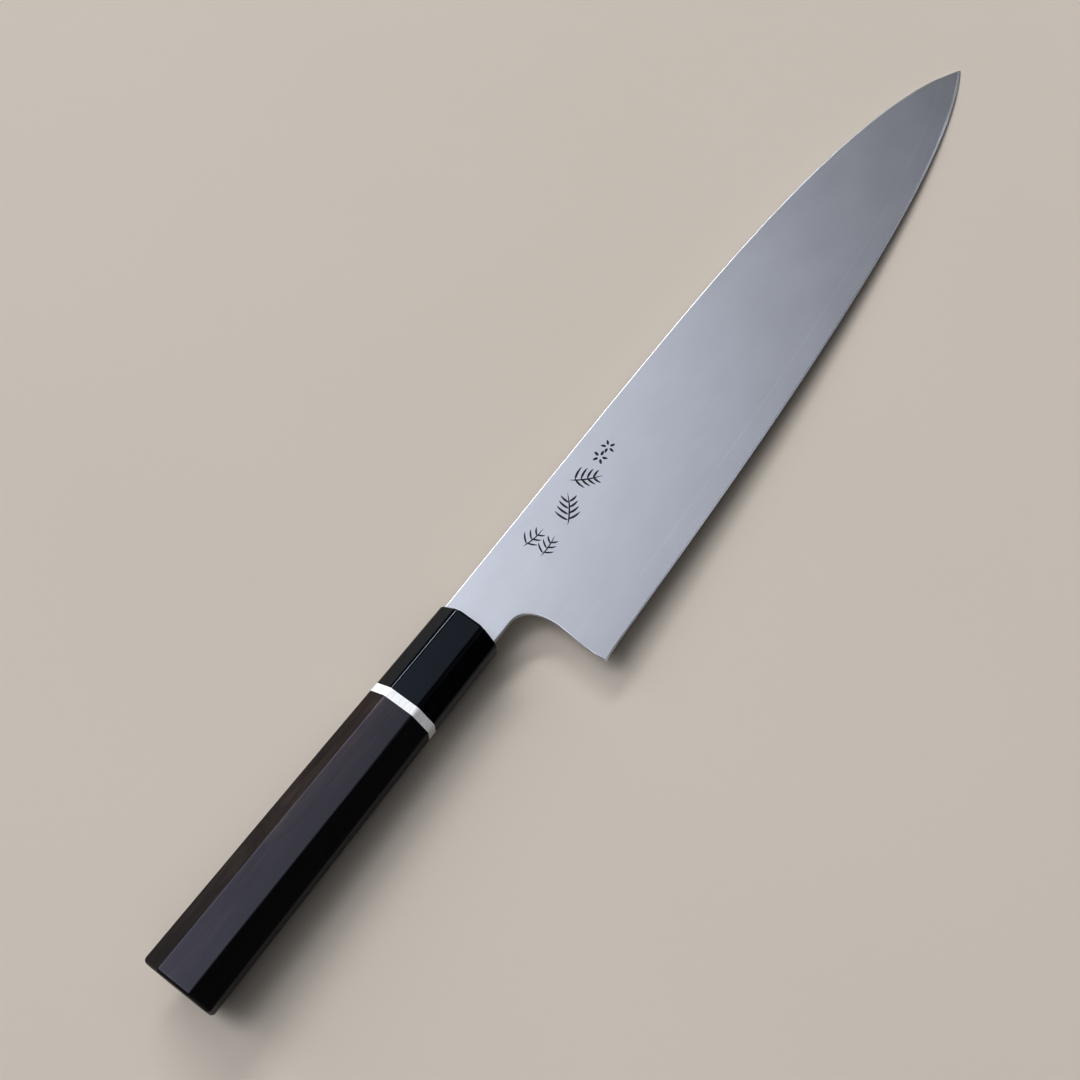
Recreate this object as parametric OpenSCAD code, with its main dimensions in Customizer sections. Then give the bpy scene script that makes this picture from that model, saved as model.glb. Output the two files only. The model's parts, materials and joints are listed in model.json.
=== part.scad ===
// Japanese chef knife with a laminated blade and an eight-sided wooden grip, in millimetres.
//
// Every piece is drawn in the knife's own axes. The x axis is the grip's centre line, 0 at the
// front of the ferrule and growing toward the tip. The y axis points at the spine, and z is
// square to the blade's flat. in_rest_pose() then lays the knife down the way it comes to rest
// on a table, on its tip and on the lower front edge of its ferrule, with the origin on the
// table under the middle of the knife.

/* [Blade] */
// Straight distance from the heel to the tip
blade_len = 270; // [240:1:300]
// Distance from the ferrule to the heel
neck_len = 16.4; // [14:0.2:24]
// How far the heel lies below the grip's centre line
heel_drop = 41.3; // [36:0.1:46]
// How far the tip lies below the grip's centre line
tip_drop = 11.1; // [6:0.1:14]
// Height of the spine above the grip's centre line at the ferrule
spine_start = 10.8; // [10:0.1:12]
// Height of the spine above the grip's centre line along its straight stretch
spine_top = 11.3; // [11:0.1:13]
// Distance from the ferrule to where the spine begins to fall
spine_bend = 90; // [60:1:110]
// Thickness of the spine at the ferrule
spine_t = 2.3; // [2:0.1:3]
// Share of the spine's thickness that tapers away toward the tip
distal_taper = 0.55; // [0.4:0.01:0.6]
// Depth of the neck below the grip's centre line
neck_drop = 9.2; // [8:0.1:9.6]

/* [Lamination] */
// Thickness of the hard core sheet
core_t = 0.7; // [0.5:0.02:0.7]
// Width of bare core steel along the edge
core_show = 7; // [5:0.5:9]
// Width of the sharpening bevel at the heel
bevel_heel = 0.3; // [0.3:0.1:0.8]
// Width of the sharpening bevel near the tip
bevel_tip = 1.2; // [0.6:0.1:1.6]

/* [Grip] */
// Length of the grip with its ferrule and ring
grip_len = 141.5; // [130:0.5:155]
// Width across the flats at the front of the ferrule
front_w = 22.3; // [21:0.1:24]
// Thickness through the flats at the front of the ferrule
front_t = 19.5; // [19:0.1:22]
// Width across the flats at the butt
butt_w = 25.3; // [24:0.1:28]
// Thickness through the flats at the butt
butt_t = 20.8; // [20:0.1:24]
// Leg of the corner bevels at the front of the ferrule
front_bevel = 5.8; // [5:0.1:6.4]
// Leg of the corner bevels at the butt
butt_bevel = 6.7; // [5.6:0.1:7.2]
// Length of the horn ferrule
ferrule_len = 33.8; // [28:0.2:40]
// Length of the white spacer ring
ring_len = 3.2; // [2:0.2:5]
// Radius of the rounded edges at the butt
butt_round = 1.4; // [0.6:0.2:2]
// Radius of the rounded edges at the front of the ferrule
ferrule_round = 0.9; // [0.4:0.1:1.4]

/* [Inside the grip] */
// Length of the tang behind the ferrule's front
tang_len = 92; // [80:1:92]
// Width of the tang at the ferrule
tang_w = 9.6; // [8:0.1:9.8]
// Width of the tang at its end
tang_end_w = 6.4; // [4:0.1:7]
// Thickness of the tang
tang_t = 1.7; // [1.4:0.05:1.8]
// Diameter of the joining dowel
dowel_d = 14; // [13:0.1:14.5]
// Depth of the dowel's front end behind the ferrule's front
dowel_start = 8; // [7:0.5:12]
// Depth of the dowel's rear end behind the ferrule's front
dowel_end = 100; // [98:1:110]
// Width of the tang slot
slot_w = 10.8; // [10.4:0.1:11.2]
// Height of the tang slot
slot_h = 3.2; // [2.4:0.1:4]
// Depth of the tang slot's closed end
slot_end = 94; // [93:0.5:97]
// Width of the sealed pocket in the ferrule's mouth
mouth_w = 12.6; // [12:0.1:14]
// Height of the sealed pocket in the ferrule's mouth
mouth_h = 4.4; // [4:0.1:5]
// Depth of the sealed pocket in the ferrule's mouth
mouth_depth = 2.5; // [1.5:0.1:4]

/* [Hidden] */
$fn = 64;

// --- Key points of the blade's outline ---

edge_lead = [0.032, 0.802];
edge_lift = [2.4, 2];
spine_lead = [0.309, 0.804];
spine_lift = 1.4;
neck_reach = 5;
choil_depth = 22;
choil_inset = 0.4;
choil_lean = 0.2;
choil_pull = [8.5, 7];
heel_pull = [-1, 5.3];

heel = [neck_len, -heel_drop];
tip = [neck_len + sqrt(pow(blade_len, 2) - pow(heel_drop - tip_drop, 2)), -tip_drop];
edge_run = tip.x - heel.x;
spine_run = tip.x - spine_bend;

// The edge is nearly straight behind its belly and then sweeps up to the tip.
edge_curve = [
    heel,
    heel + [edge_lead[0] * edge_run, edge_lift[0]],
    heel + [edge_lead[1] * edge_run, edge_lift[1]],
    tip
];

// The spine runs level to spine_bend and then drops in one long curve to the tip.
spine_curve = [
    [spine_bend, spine_top],
    [spine_bend + spine_lead[0] * spine_run, spine_top],
    [spine_bend + spine_lead[1] * spine_run, spine_top + spine_lift],
    tip
];

// The underside of the neck turns down into the choil, the blade's rear edge.
choil_start = [neck_len / 2, -neck_drop];
choil_corner = [heel.x + choil_inset, -choil_depth];
neck_curve = [
    choil_start,
    choil_start + [neck_reach, 0],
    choil_corner + [-choil_lean, choil_pull[0]],
    choil_corner
];
choil_curve = [
    choil_corner,
    choil_corner + [-choil_lean, -choil_pull[1]],
    heel + heel_pull,
    heel
];

// --- Curves ---

function mix(a, b, t) = a + (b - a) * t;

function clamp01(v) = min(max(v, 0), 1);

// The point of a cubic curve at t from 0 to 1
function on_curve(c, t) =
    let (s = 1 - t)
    s * s * s * c[0] + 3 * s * s * t * c[1] + 3 * s * t * t * c[2] + t * t * t * c[3];

// Where a curve reaches value v of coordinate axis, found by halving the interval
function curve_t(c, axis, v, low = 0, high = 1, turns = 24) =
    turns == 0 ? (low + high) / 2 :
    let (
        middle = (low + high) / 2,
        rising = c[3][axis] > c[0][axis],
        beyond = on_curve(c, middle)[axis] > v
    )
    beyond == rising
        ? curve_t(c, axis, v, low, middle, turns - 1)
        : curve_t(c, axis, v, middle, high, turns - 1);

function edge_y(x) = on_curve(edge_curve, curve_t(edge_curve, 0, x)).y;

function spine_y(x) =
    x < spine_bend
        ? mix(spine_start, spine_top, x / spine_bend)
        : on_curve(spine_curve, curve_t(spine_curve, 0, x)).y;

// The rear edge's x at a height between the choil's corner and the heel
function choil_x(y) = on_curve(choil_curve, curve_t(choil_curve, 1, y)).x;

// The lamination line keeps core_show from the edge, measured square to it.
slope_step = 0.5;

function lamination_y(x) =
    let (slope = (edge_y(x) - edge_y(x - slope_step)) / slope_step)
    edge_y(x) + core_show * sqrt(1 + slope * slope);

// The x at which the lamination line runs out at the spine, behind the tip
function lamination_end(low, high, turns = 24) =
    turns == 0 ? low :
    let (middle = (low + high) / 2)
    lamination_y(middle) < spine_y(middle)
        ? lamination_end(middle, high, turns - 1)
        : lamination_end(low, middle, turns - 1);

cladding_end = lamination_end(spine_bend, tip.x);
lamination_rear = [choil_x(heel.y + core_show), heel.y + core_show];

// --- Thickness of the blade ---

core_half = core_t / 2;
tip_share = 0.92;
tip_half = tip_share * core_half;
taper_power = 2.2;
steepest = 0.03;
bevel_half = 0.19;
bevel_power = 4;
edge_half = 0.03;
cladding_lap = 0.03;

function spine_half(x) = spine_t / 2 * (1 - distal_taper * pow(max(x, 0) / tip.x, taper_power));

// Half the blade's thickness at a point of its clad face, thinning from spine to lamination
// line. The wedge is never steeper than steepest, so the cladding thins out near the tip.
function face_half(p) =
    let (
        top = spine_y(p.x),
        low = lamination_y(max(p.x, heel.x + slope_step)),
        across = clamp01((top - p.y) / (top - low)),
        rise = min(spine_half(p.x) - core_half, steepest * (top - low))
    )
    core_half + cladding_lap + rise * (1 - across);

// --- Resting position ---

// The knife tips forward until the tip and the ferrule's lower front edge share one level.
tilt = atan((front_t / 2 - tip_half) / (tip.x + ferrule_round));
lift = front_t / 2 * cos(tilt) - ferrule_round * sin(tilt);

function tilted_x(x, z) = x * cos(tilt) + z * sin(tilt);

front_x = tilted_x(tip.x, tip_half);
rear_x = tilted_x(-grip_len, -(butt_t / 2 - butt_round));
middle_x = (front_x + rear_x) / 2;
middle_y = (butt_w / 2 + heel.y) / 2;

module in_rest_pose() {
    translate([-middle_x, -middle_y, lift]) rotate([0, tilt, 0]) children();
}

// --- Solids drawn through a row of rings ---

// Closes a row of rings into one solid. Each ring is a list of 3-D points that turns
// anticlockwise when seen from the first ring's side.
module loft(rings) {
    n = len(rings[0]);
    last = len(rings) - 1;
    sides = [
        for (k = [0 : last - 1], i = [0 : n - 1])
            let (j = (i + 1) % n)
            [k * n + i, k * n + j, (k + 1) * n + j, (k + 1) * n + i]
    ];
    first_cap = [for (i = [n - 1 : -1 : 0]) i];
    last_cap = [for (i = [0 : n - 1]) last * n + i];
    polyhedron([for (ring = rings) each ring], concat([first_cap], sides, [last_cap]));
}

// --- Blade pieces ---

blade_steps = 36;
choil_steps = 9;
across_steps = 6;
line_bunching = 1.3;
sheet_bunching = 1.5;
fan_lead = 11;
fan_run = 70;

// Where the lamination line or the rear edge bounds the cladding from below, heel to tip
rear_end_t = curve_t(choil_curve, 1, lamination_rear.y);
rear_points = concat(
    [[0, -neck_drop], choil_start],
    [for (i = [1 : choil_steps]) on_curve(neck_curve, i / choil_steps)],
    [for (i = [1 : choil_steps]) on_curve(choil_curve, rear_end_t * i / choil_steps)]
);
line_x = [
    for (i = [1 : blade_steps])
        mix(heel.x, cladding_end - cladding_lap, 1 - pow(1 - i / blade_steps, line_bunching))
];
line_points = [for (x = line_x) [x, lamination_y(x)]];

// The point of the spine that faces each lower point; the pairs fan out around the choil
rear_count = len(rear_points);
facing_x = concat(
    [for (i = [0 : rear_count - 1]) (heel.x + fan_lead) * i / (rear_count - 1)],
    [for (x = line_x) x + fan_lead * pow(max(1 - (x - heel.x) / fan_run, 0), 2)]
);

// One ring of the cladding: up its outer face to the spine, and back along the core
function cladding_ring(x, low) =
    let (
        top = [x, spine_y(x)],
        face = [for (j = [0 : across_steps]) mix(low, top, j / across_steps)]
    )
    concat(
        [[low.x, low.y, core_half]],
        [for (p = face) [p.x, p.y, face_half(p)]],
        [[top.x, top.y, core_half]]
    );

tang_lap = 2;
tang_outline = [
    [tang_lap, -tang_w / 2],
    [tang_lap, tang_w / 2],
    [0, tang_w / 2],
    [-tang_len + tang_end_w / 2, tang_end_w / 2],
    [-tang_len, tang_end_w / 4],
    [-tang_len, -tang_end_w / 4],
    [-tang_len + tang_end_w / 2, -tang_end_w / 2],
    [0, -tang_w / 2]
];

// Soft steel on one face of the core, with its share of the tang
module cladding() {
    low_points = concat(rear_points, line_points);
    loft([for (i = [0 : len(low_points) - 1]) cladding_ring(facing_x[i], low_points[i])]);
    translate([0, 0, core_half]) linear_extrude((tang_t - core_t) / 2) polygon(tang_outline);
}

module cladding_right() {
    color("lightsteelblue") in_rest_pose() cladding();
}

module cladding_left() {
    color("lightsteelblue") in_rest_pose() mirror([0, 0, 1]) cladding();
}

// One ring of the bare edge: lamination line, bevel shoulder and cutting edge on the lower
// face, then back on the upper face
function edge_ring(x, shift) =
    let (
        low = edge_y(x),
        top = min(lamination_y(x), spine_y(x)),
        bevel = min(mix(bevel_heel, bevel_tip, pow(x / tip.x, bevel_power)), (top - low) / 2)
    )
    [
        [x + shift[0], top, -core_half],
        [x + shift[1], low + bevel, -bevel_half],
        [x, low, -edge_half],
        [x, low, edge_half],
        [x + shift[1], low + bevel, bevel_half],
        [x + shift[0], top, core_half]
    ];

tip_spread = 0.15;
tip_stations = [0.4, 0.8];
tip_ring = [
    [tip.x, tip.y + tip_spread, -tip_half],
    [tip.x, tip.y, -bevel_half],
    [tip.x, tip.y - tip_spread, -edge_half],
    [tip.x, tip.y - tip_spread, edge_half],
    [tip.x, tip.y, bevel_half],
    [tip.x, tip.y + tip_spread, tip_half]
];

// Hard steel: the sheet between the claddings, the bare band with the cutting edge, the tang
module core_steel() {
    sheet_steps = 24;
    spine_points = [
        for (i = [0 : sheet_steps])
            let (x = mix(0, cladding_end, 1 - pow(1 - i / sheet_steps, sheet_bunching)))
            [x, spine_y(x)]
    ];
    rear_reversed = [for (i = [rear_count - 1 : -1 : 0]) rear_points[i]];
    line_reversed = [for (i = [blade_steps - 1 : -1 : 0]) line_points[i]];
    rear_shift = [lamination_rear.x - heel.x, choil_x(heel.y + bevel_heel) - heel.x];
    edge_x = concat(line_x, [for (share = tip_stations) mix(cladding_end, tip.x, share)]);
    color("silver") in_rest_pose() {
        linear_extrude(core_t, center = true)
            polygon(concat(spine_points, line_reversed, rear_reversed));
        linear_extrude(core_t, center = true) polygon(tang_outline);
        loft(concat([edge_ring(heel.x, rear_shift)], [for (x = edge_x) edge_ring(x, [0, 0])], [tip_ring]));
    }
}

// --- Grip pieces ---

// Half width, half thickness and bevel leg of the grip at a distance behind the ferrule's front
function grip_size(d) =
    mix([front_w / 2, front_t / 2, front_bevel], [butt_w / 2, butt_t / 2, butt_bevel], d / grip_len);

// The grip's eight corners at a distance behind the front, drawn in by inset on every side
function grip_ring(d, inset = 0) =
    let (
        size = grip_size(d),
        w = size[0] - inset,
        t = size[1] - inset,
        leg = size[2] - inset * (2 - sqrt(2))
    )
    [
        [-d, w, leg - t], [-d, w, t - leg], [-d, w - leg, t], [-d, leg - w, t],
        [-d, -w, t - leg], [-d, -w, leg - t], [-d, leg - w, -t], [-d, w - leg, -t]
    ];

round_steps = 4;

// Rings of a rounded end: from the end face, drawn in by the radius, out to the full section
function round_rings(end, radius, inward) =
    [
        for (i = [0 : round_steps])
            let (turn = 90 * i / round_steps)
            grip_ring(end + inward * radius * (1 - cos(turn)), radius * (1 - sin(turn)))
    ];

function reversed(list) = [for (i = [len(list) - 1 : -1 : 0]) list[i]];

module dowel_bore() {
    translate([-dowel_end, 0, 0]) rotate([0, 90, 0]) cylinder(d = dowel_d, h = dowel_end - dowel_start);
}

// A straight-sided pocket on the grip's centre line between two depths
module pocket(from, to, w, h) {
    translate([-to, -w / 2, -h / 2]) cube([to - from, w, h]);
}

module tang_space() {
    linear_extrude(tang_t, center = true) polygon(tang_outline);
}

module ferrule() {
    open_front = 1;
    color("#1b1a1c") in_rest_pose() difference() {
        loft(concat(round_rings(0, ferrule_round, 1), [grip_ring(ferrule_len)]));
        dowel_bore();
        pocket(-open_front, mouth_depth, mouth_w, mouth_h);
        pocket(-open_front, dowel_start + open_front, slot_w, slot_h);
    }
}

module spacer_ring() {
    color("ivory") in_rest_pose() difference() {
        loft([grip_ring(ferrule_len), grip_ring(ferrule_len + ring_len)]);
        dowel_bore();
    }
}

module handle_body() {
    color("#241d1a") in_rest_pose() difference() {
        loft(concat([grip_ring(ferrule_len + ring_len)], reversed(round_rings(grip_len, butt_round, -1))));
        dowel_bore();
    }
}

// Wooden dowel that lines up the three grip pieces, slotted for the tang
module tang_dowel() {
    color("burlywood") in_rest_pose() difference() {
        dowel_bore();
        pocket(0, slot_end, slot_w, slot_h);
    }
}

// Resin that holds the tang in the slot
module tang_bedding() {
    color("goldenrod") in_rest_pose() difference() {
        pocket(mouth_depth, slot_end, slot_w, slot_h);
        tang_space();
    }
}

// Sealing compound in the ferrule's mouth
module mouth_seal() {
    color("dimgray") in_rest_pose() difference() {
        pocket(0, mouth_depth, mouth_w, mouth_h);
        tang_space();
    }
}

core_steel();
cladding_right();
cladding_left();
mouth_seal();
ferrule();
spacer_ring();
handle_body();
tang_dowel();
tang_bedding();
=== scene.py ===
"""Looks of the chef knife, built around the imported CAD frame.

Shapes are worked out in the knife's own axes, in millimetres: x along the grip from the
ferrule's front edge (0) to the tip, y toward the spine, z square to the blade's flat. One
matrix then lays them in the row frame, in metres, where the CAD has them.
"""

import json
import math

import bmesh
import bpy
import numpy as np
from mathutils import Matrix, Vector


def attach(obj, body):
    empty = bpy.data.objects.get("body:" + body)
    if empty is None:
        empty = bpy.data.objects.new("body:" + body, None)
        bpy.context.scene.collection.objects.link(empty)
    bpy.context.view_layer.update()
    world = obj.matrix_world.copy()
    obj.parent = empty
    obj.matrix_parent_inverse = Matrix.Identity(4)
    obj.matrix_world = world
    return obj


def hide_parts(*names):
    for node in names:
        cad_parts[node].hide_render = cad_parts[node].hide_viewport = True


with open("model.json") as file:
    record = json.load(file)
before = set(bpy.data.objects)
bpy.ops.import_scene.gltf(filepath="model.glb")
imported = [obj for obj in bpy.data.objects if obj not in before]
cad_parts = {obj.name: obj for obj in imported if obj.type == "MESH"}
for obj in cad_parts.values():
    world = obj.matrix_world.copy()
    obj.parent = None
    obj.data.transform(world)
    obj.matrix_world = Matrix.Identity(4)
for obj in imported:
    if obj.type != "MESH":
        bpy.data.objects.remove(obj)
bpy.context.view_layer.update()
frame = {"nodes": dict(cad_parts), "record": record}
MM = 0.001

# ---------------------------------------------------------------- driving sizes, millimetres

BLADE_LEN = 270.0
HEEL = np.array([16.4, -41.3])
TIP_DROP = 11.1
TIP = np.array([HEEL[0] + math.sqrt(BLADE_LEN**2 - (HEEL[1] + TIP_DROP) ** 2), -TIP_DROP])
NECK_DROP = 9.2
SPINE_START, SPINE_TOP, SPINE_BEND = 10.8, 11.3, 90.0
SPINE_T = 2.3
DISTAL_TAPER, TAPER_POWER = 0.55, 2.2  # share of the spine's thickness lost toward the tip
STEEPEST = 0.03  # limit to the wedge angle, so the cladding thins out to nothing near the tip
CORE_HALF = 0.35
CORE_SHOW = 7.0  # width of the bare core steel along the edge
BEVEL_HEEL, BEVEL_TIP = 0.5, 1.2
EDGE_HALF = 0.03

GRIP_LEN, FERRULE_LEN, RING_LEN = 141.5, 33.8, 3.2
FRONT_SIZE = np.array([22.3 / 2, 19.5 / 2, 5.8])  # half width, half thickness, corner leg
BUTT_SIZE = np.array([25.3 / 2, 20.8 / 2, 6.7])
FERRULE_ROUND, BUTT_ROUND = 1.1, 1.4

TANG_LEN, TANG_W, TANG_END_W, TANG_HALF = 92.0, 9.6, 6.4, 0.85
TANG_LAP = 2.0  # how far the tang reaches into the blade, so that the two are one mesh
DOWEL_D, DOWEL_START, DOWEL_END = 14.0, 8.0, 100.0
SLOT_W, SLOT_H = 10.8, 3.2
MOUTH_W, MOUTH_H, MOUTH_DEPTH = 12.6, 4.4, 2.5

# ---------------------------------------------------------------- the knife's place in the row

MOUNT_X = -90.0  # where the grip's two flat mounts sit along its centre line


def knife_matrix():
    """From the knife's own axes in millimetres to the row frame, read off the grip's two mounts."""
    mounts = {m["name"]: m for m in frame["record"]["mounts"]}
    up, down = mounts["grip_upper_flat"], mounts["grip_lower_flat"]
    lean_up = math.atan2(up["axis"][0], up["axis"][2])
    lean_down = math.atan2(-down["axis"][0], -down["axis"][2])
    turn = Matrix.Rotation((lean_up + lean_down) / 2, 4, "Y")
    centre = (Vector(up["pos_m"]) + Vector(down["pos_m"])) / 2
    shift = centre - turn.to_3x3() @ Vector((MOUNT_X * MM, 0, 0))
    return Matrix.Translation(shift) @ turn @ Matrix.Scale(MM, 4)


KNIFE = knife_matrix()


def moved(points, matrix):
    points = np.asarray(points, float).reshape(-1, 3)
    return points @ matrix[:3, :3].T + matrix[:3, 3]


def to_row(points):
    return moved(points, np.array(KNIFE))


def to_knife(points):
    return moved(points, np.array(KNIFE.inverted()))


# ---------------------------------------------------------------- camera, floor and light

CAMERA_TARGET = Vector((-0.0314, 0.0169, 0.0))
CAMERA_AZIMUTH, CAMERA_ELEVATION = math.radians(-53.45), math.radians(68.17)
CAMERA_DISTANCE, CAMERA_NEAREST = 0.5711, 0.01
CAMERA_LENS, SENSOR = 57.33, 36.0

STRIP_SPOT, STRIP_SIZE = Vector((2.34, 3.78, 3.6)), (3.6, 0.5)
STRIP_WATTS, STRIP_COLOUR = 150, (0.95, 0.97, 1.0)

DAYLIGHT, COOL = (0.945, 0.975, 1.06), (0.925, 0.965, 1.085)
SKY_BASE = 0.010
SKY_LOBES = [  # centre and spread in metres on a ceiling one metre up, turn, strength, colour
    ((-0.20, 0.525), (0.29, 0.12), -25, 6.7, DAYLIGHT),
    ((0.53, 0.263), (0.08, 0.134), -25, 1.60, COOL),
    ((-0.31, 1.70), (0.275, 1.30), -8, 4.93, DAYLIGHT),
    ((0.80, -0.417), (0.06, 0.51), -33, 1.70, DAYLIGHT),
]
HORIZON = 0.001  # the sky below this height looks as it does at it
BACKDROP = (0.70, 0.68, 0.65, 1)
CONTRAST_GAMMA = 0.8

FLOOR_HALF = 6.0


def add_object(name, data):
    obj = bpy.data.objects.new(name, data)
    bpy.context.scene.collection.objects.link(obj)
    return obj


def facing_against(direction):
    """The turn that makes a camera or a lamp look the opposite way to direction."""
    return (-direction).to_track_quat("-Z", "Y").to_euler()


def add_camera():
    flat = math.cos(CAMERA_ELEVATION)
    east, north = math.sin(CAMERA_AZIMUTH) * flat, -math.cos(CAMERA_AZIMUTH) * flat
    back = Vector((east, north, math.sin(CAMERA_ELEVATION)))
    data = bpy.data.cameras.new("camera")
    data.lens, data.sensor_width, data.clip_start = CAMERA_LENS, SENSOR, CAMERA_NEAREST
    camera = add_object("camera", data)
    camera.location = CAMERA_TARGET + back * CAMERA_DISTANCE
    camera.rotation_euler = facing_against(back)
    bpy.context.scene.camera = camera


def add_strip_light():
    data = bpy.data.lights.new("strip", "AREA")
    data.shape, data.energy, data.color = "RECTANGLE", STRIP_WATTS, STRIP_COLOUR
    data.size, data.size_y = STRIP_SIZE
    light = add_object("strip", data)
    light.location = STRIP_SPOT
    light.rotation_euler = facing_against(STRIP_SPOT)


def new_node(tree, kind, **settings):
    made = tree.nodes.new("ShaderNode" + kind)
    for key, value in settings.items():
        setattr(made, key, value)
    return made


def lobe(tree, plane, centre, spread, turn, strength, colour):
    """A soft patch of sky: exp(-r * r / 2) of its strength at r spreads from its centre."""
    place = new_node(tree, "Mapping", vector_type="TEXTURE")
    place.inputs["Location"].default_value = (*centre, 1)
    place.inputs["Rotation"].default_value = (0, 0, math.radians(turn))
    place.inputs["Scale"].default_value = (*spread, 1)
    square = new_node(tree, "VectorMath", operation="DOT_PRODUCT")
    fall = new_node(tree, "Math", operation="POWER")
    fall.inputs[0].default_value = math.exp(-0.5)
    level = new_node(tree, "VectorMath", operation="SCALE")
    level.inputs[0].default_value = [strength * channel for channel in colour]
    tree.links.new(plane, place.inputs["Vector"])
    tree.links.new(place.outputs["Vector"], square.inputs[0])
    tree.links.new(place.outputs["Vector"], square.inputs[1])
    tree.links.new(square.outputs["Value"], fall.inputs[1])
    tree.links.new(fall.outputs[0], level.inputs["Scale"])
    return level.outputs[0]


def ceiling_plane(tree):
    """Where each direction meets a ceiling one metre up."""
    spot = new_node(tree, "TexCoord").outputs["Generated"]
    split = new_node(tree, "SeparateXYZ")
    height = new_node(tree, "Math", operation="MAXIMUM")
    height.inputs[1].default_value = HORIZON
    plane = new_node(tree, "VectorMath", operation="DIVIDE")
    tree.links.new(spot, split.inputs[0])
    tree.links.new(split.outputs["Z"], height.inputs[0])
    tree.links.new(spot, plane.inputs[0])
    tree.links.new(height.outputs[0], plane.inputs[1])
    return plane.outputs[0]


def add_world():
    """A soft lit ceiling over a dark horizon; the camera itself sees a plain pale backdrop."""
    world = bpy.data.worlds.new("room")
    bpy.context.scene.world = world
    world.use_nodes = True
    tree = world.node_tree
    plane = ceiling_plane(tree)
    total = None
    for sky_lobe in SKY_LOBES:
        add = new_node(tree, "VectorMath", operation="ADD")
        add.inputs[1].default_value = [SKY_BASE] * 3  # under the first lobe; the others add to the sum
        tree.links.new(lobe(tree, plane, *sky_lobe), add.inputs[0])
        if total is not None:
            tree.links.new(total, add.inputs[1])
        total = add.outputs[0]
    room = tree.nodes["Background"]
    backdrop = new_node(tree, "Background")
    backdrop.inputs["Color"].default_value = BACKDROP
    mix = new_node(tree, "MixShader")
    tree.links.new(total, room.inputs["Color"])
    tree.links.new(new_node(tree, "LightPath").outputs["Is Camera Ray"], mix.inputs[0])
    tree.links.new(room.outputs[0], mix.inputs[1])
    tree.links.new(backdrop.outputs[0], mix.inputs[2])
    tree.links.new(mix.outputs[0], tree.nodes["World Output"].inputs["Surface"])


def add_floor(material):
    corners = [(-FLOOR_HALF, -FLOOR_HALF, 0), (FLOOR_HALF, -FLOOR_HALF, 0)]
    corners += [(FLOOR_HALF, FLOOR_HALF, 0), (-FLOOR_HALF, FLOOR_HALF, 0)]
    data = bpy.data.meshes.new("floor")
    data.from_pydata(corners, [], [(0, 1, 2, 3)])
    data.materials.append(material)
    floor = add_object("floor", data)


# ---------------------------------------------------------------- material helpers

MOST = (0.3, 0.7)  # the range that most of a noise falls in
MIX_FACTOR, MIX_A, MIX_B, MIX_COLOUR = 0, 6, 7, 2  # the sockets of a Mix node that mixes colours
FULL_GLOSS = 0.5
SIDE_FACET, UPPER_FLAT = 0.85, 0.97  # how squarely these facets of the grip face up


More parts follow.
